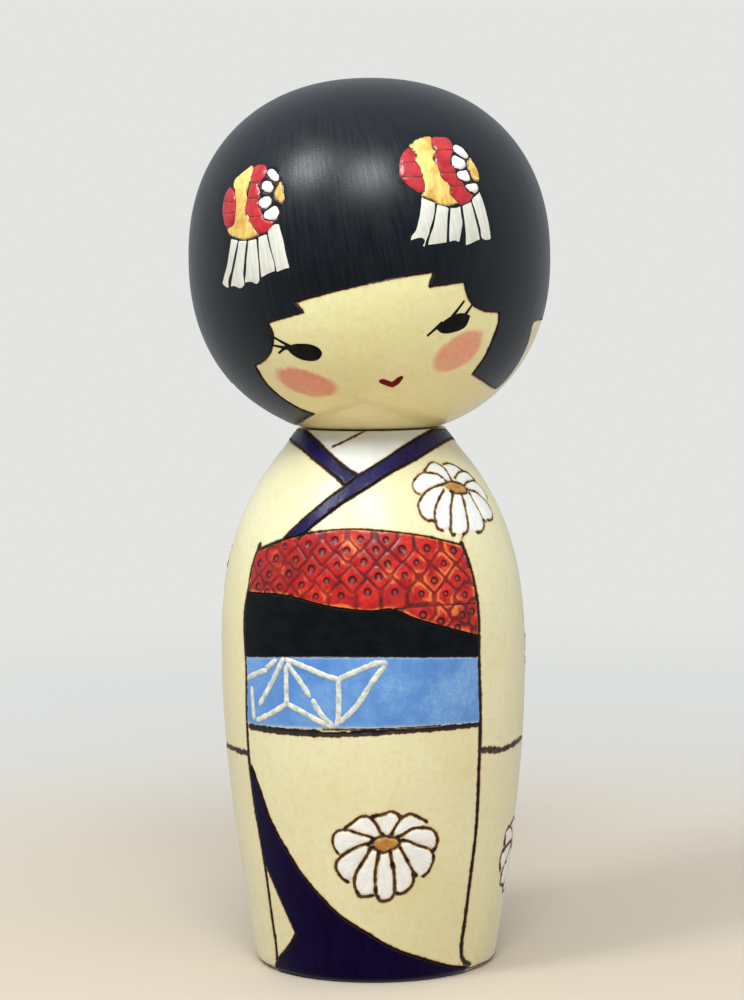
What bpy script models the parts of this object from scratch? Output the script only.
"""Kokeshi doll: a turned wooden body, a turned wooden head and the peg that
joins them.

Metres, +Z up.  The origin is the centre of the foot, on the plane the doll
stands on.  The doll faces -Y, and its own left hand is towards +X.
"""
import math

import bpy

# ---------------------------------------------------------------- dimensions
MM = 0.001

TOTAL_H = 240.0 * MM            # foot to crown
JOINT_Z = 146.1 * MM            # middle of the seam between head and body
GAP = 0.3 * MM                  # seam, and clearance round and above the peg
SEAT_Z = JOINT_Z - GAP / 2      # flat top of the body
HEAD_Z = JOINT_Z + GAP / 2      # flat underside of the head

# head: a turned ball, a little squarer than a sphere, cut flat underneath
HEAD_R = 48.8 * MM              # largest radius
HEAD_HALF = 48.2 * MM           # half its height, were it not cut flat
HEAD_CENTRE_Z = TOTAL_H - HEAD_HALF
HEAD_EXPONENT = 2.22            # superellipse exponent (2 is an ellipse)
HEAD_EDGE = 0.5 * MM            # easing of the rim of the flat
HEAD_CUTOFF = 2.5 * HEAD_EDGE   # the ball's own rings stop this far above the flat
HEAD_DIVISIONS = 60             # equal angle steps from crown to underside
HEAD_DENSE_SINE = 0.9           # sine of the angle beyond which every step is kept

# body
SEAT_FLAT_R = 19.7 * MM         # outer edge of the flat top
SEAT_EDGE_DROP = 0.4 * MM       # height of the bevel round the flat top
BODY_STATIONS = (               # (height, radius), foot to shoulder
    (2.5 * MM, 32.9 * MM),      # just above the rounded foot
    (12.1 * MM, 34.5 * MM),
    (34.3 * MM, 37.8 * MM),
    (59.1 * MM, 40.5 * MM),
    (80.8 * MM, 41.4 * MM),     # widest, at the sleeves
    (97.5 * MM, 41.0 * MM),
    (108.4 * MM, 39.5 * MM),
    (122.2 * MM, 35.3 * MM),    # shoulder
    (133.3 * MM, 29.4 * MM),
    (141.4 * MM, 23.3 * MM),
    (SEAT_Z - SEAT_EDGE_DROP, 20.2 * MM),
)
SPAN_SAMPLES = 3                # curve points per span between stations
FOOT_R = 30.1 * MM              # outer edge of the flat the doll stands on
FOOT_SEGMENTS = 5               # facets down the rounding of the foot
RECESS_R = 11.0 * MM            # shallow turned hollow in the foot
RECESS_DEPTH = 0.9 * MM
RECESS_TAPER = 0.6 * MM         # narrowing of the hollow from mouth to floor

# peg: glued into the head, turning in the body
PEG_R = 7.5 * MM
PEG_CHAMFER = 1.0 * MM
PEG_FOOT_CLEARANCE = 1.5 * MM   # between the peg and the socket floor
BORE_R = PEG_R + GAP            # both blind holes
BORE_MOUTH = 0.8 * MM           # countersink at the mouth of each hole
SOCKET_DEPTH = 26.0 * MM        # down into the body
HEAD_BORE_DEPTH = 22.0 * MM     # up into the head

TURN_STEPS = 72                 # facets round each turned piece
AXIS_DISPLAY_SIZE = 30.0 * MM   # drawn size of the neck axis empty

FINISH = {                      # piece: (colour, roughness)
    "body": ((0.80, 0.75, 0.55), 0.42),
    "head": ((0.80, 0.70, 0.42), 0.42),
    "neck_dowel": ((0.62, 0.46, 0.28), 0.60),
}


# ------------------------------------------------------------------- helpers
def smooth_curve(stations, samples):
    """Cubic Hermite curve through (height, radius) stations, with slopes
    weighted from the neighbouring chords.  Returns (radius, height) points."""
    heights, radii = zip(*stations)
    spans = [upper - lower for lower, upper in zip(heights, heights[1:])]
    chords = [(radii[i + 1] - radii[i]) / span for i, span in enumerate(spans)]
    slopes = [chords[0]]
    for i in range(1, len(spans)):
        below, above = spans[i - 1], spans[i]
        slopes.append((chords[i - 1] * above + chords[i] * below) / (below + above))
    slopes.append(chords[-1])

    points = []
    for i, span in enumerate(spans):
        for k in range(samples):
            part = k / samples
            radius = ((1 + 2 * part) * (1 - part) ** 2 * radii[i]
                      + part * (1 - part) ** 2 * span * slopes[i]
                      + part * part * (3 - 2 * part) * radii[i + 1]
                      + part * part * (part - 1) * span * slopes[i + 1])
            points.append((radius, heights[i] + part * span))
    points.append((radii[-1], heights[-1]))
    return points


def make_finish(name):
    """Painted or plain wood finish for a piece."""
    colour, roughness = FINISH[name]
    material = bpy.data.materials.new(name + "_finish")
    material.use_nodes = True
    inputs = material.node_tree.nodes["Principled BSDF"].inputs
    inputs["Base Color"].default_value = (*colour, 1.0)
    inputs["Roughness"].default_value = roughness
    inputs["Metallic"].default_value = 0.0
    return material


def make_turned(name, profile, collection):
    """A turned piece: an (x, z) profile that starts and ends on the axis,
    spun about Z by a Screw modifier."""
    mesh = bpy.data.meshes.new(name)
    mesh.from_pydata([(x, 0.0, z) for x, z in profile],
                     [(i, i + 1) for i in range(len(profile) - 1)], [])
    mesh.materials.append(make_finish(name))
    obj = bpy.data.objects.new(name, mesh)
    collection.objects.link(obj)
    screw = obj.modifiers.new("turn", 'SCREW')
    screw.axis = 'Z'
    screw.angle = math.tau
    screw.steps = TURN_STEPS
    screw.render_steps = TURN_STEPS
    screw.use_merge_vertices = True
    screw.merge_threshold = 0.01 * MM
    screw.use_smooth_shade = True
    return obj


# -------------------------------------------------------------------- pieces
def body_profile():
    """Socket floor, socket wall, flat top, side, rounded foot, recess."""
    socket = [
        (0.0, SEAT_Z - SOCKET_DEPTH),
        (BORE_R, SEAT_Z - SOCKET_DEPTH),
        (BORE_R, SEAT_Z - BORE_MOUTH),
        (BORE_R + BORE_MOUTH, SEAT_Z),
        (SEAT_FLAT_R, SEAT_Z),
    ]
    side = smooth_curve(BODY_STATIONS, SPAN_SAMPLES)[::-1]
    # quarter ellipse; its first point is already the end of the side
    foot_top_z, foot_top_r = BODY_STATIONS[0]
    foot = []
    for k in range(1, FOOT_SEGMENTS + 1):
        angle = math.pi / 2 * k / FOOT_SEGMENTS
        foot.append((FOOT_R + (foot_top_r - FOOT_R) * math.cos(angle),
                     foot_top_z * (1 - math.sin(angle))))
    recess = [
        (RECESS_R, 0.0),
        (RECESS_R - RECESS_TAPER, RECESS_DEPTH),
        (0.0, RECESS_DEPTH),
    ]
    return socket + side + foot + recess


def head_radius(z):
    """Radius of the ball at a height."""
    rise = abs(z - HEAD_CENTRE_Z) / HEAD_HALF
    return HEAD_R * max(0.0, 1.0 - rise ** HEAD_EXPONENT) ** (1.0 / HEAD_EXPONENT)


def head_profile():
    """Crown, outer side, rim of the flat, then up the bore to its floor."""
    power = 2.0 / HEAD_EXPONENT
    ball = [(0.0, TOTAL_H)]
    for k in range(1, HEAD_DIVISIONS):
        angle = math.pi / 2 - math.pi * k / HEAD_DIVISIONS
        sine, cosine = math.sin(angle), math.cos(angle)
        if k % 2 and abs(sine) < HEAD_DENSE_SINE:
            continue            # every other ring is enough away from the ends
        z = HEAD_CENTRE_Z + HEAD_HALF * math.copysign(abs(sine) ** power, sine)
        if z < HEAD_Z + HEAD_CUTOFF:
            break
        ball.append((HEAD_R * abs(cosine) ** power, z))
    rim_r = head_radius(HEAD_Z)
    rim = [
        (head_radius(HEAD_Z + HEAD_EDGE), HEAD_Z + HEAD_EDGE),
        (rim_r - 0.3 * HEAD_EDGE, HEAD_Z + 0.2 * HEAD_EDGE),
        (rim_r - HEAD_EDGE, HEAD_Z),
    ]
    bore = [
        (BORE_R + BORE_MOUTH, HEAD_Z),
        (BORE_R, HEAD_Z + BORE_MOUTH),
        (BORE_R, HEAD_Z + HEAD_BORE_DEPTH),
        (0.0, HEAD_Z + HEAD_BORE_DEPTH),
    ]
    return ball + rim + bore


def peg_profile():
    """Top to bottom, chamfered at both ends."""
    top = HEAD_Z + HEAD_BORE_DEPTH - GAP
    bottom = SEAT_Z - SOCKET_DEPTH + PEG_FOOT_CLEARANCE
    return [
        (0.0, top),
        (PEG_R - PEG_CHAMFER, top),
        (PEG_R, top - PEG_CHAMFER),
        (PEG_R, bottom + PEG_CHAMFER),
        (PEG_R - PEG_CHAMFER, bottom),
        (0.0, bottom),
    ]


# --------------------------------------------------------------------- scene
for old in list(bpy.data.objects):
    bpy.data.objects.remove(old, do_unlink=True)

doll = bpy.data.collections.new("kokeshi_doll")
bpy.context.scene.collection.children.link(doll)

make_turned("body", body_profile(), doll)
head = make_turned("head", head_profile(), doll)
peg = make_turned("neck_dowel", peg_profile(), doll)

# head and peg turn together about the upright axis at the neck seam
neck = bpy.data.objects.new("neck_axis", None)
neck.empty_display_size = AXIS_DISPLAY_SIZE
neck.location = (0.0, 0.0, JOINT_Z)
doll.objects.link(neck)
bpy.context.view_layer.update()     # so that matrix_world is current
for obj in (head, peg):
    obj.parent = neck
    obj.matrix_parent_inverse = neck.matrix_world.inverted()
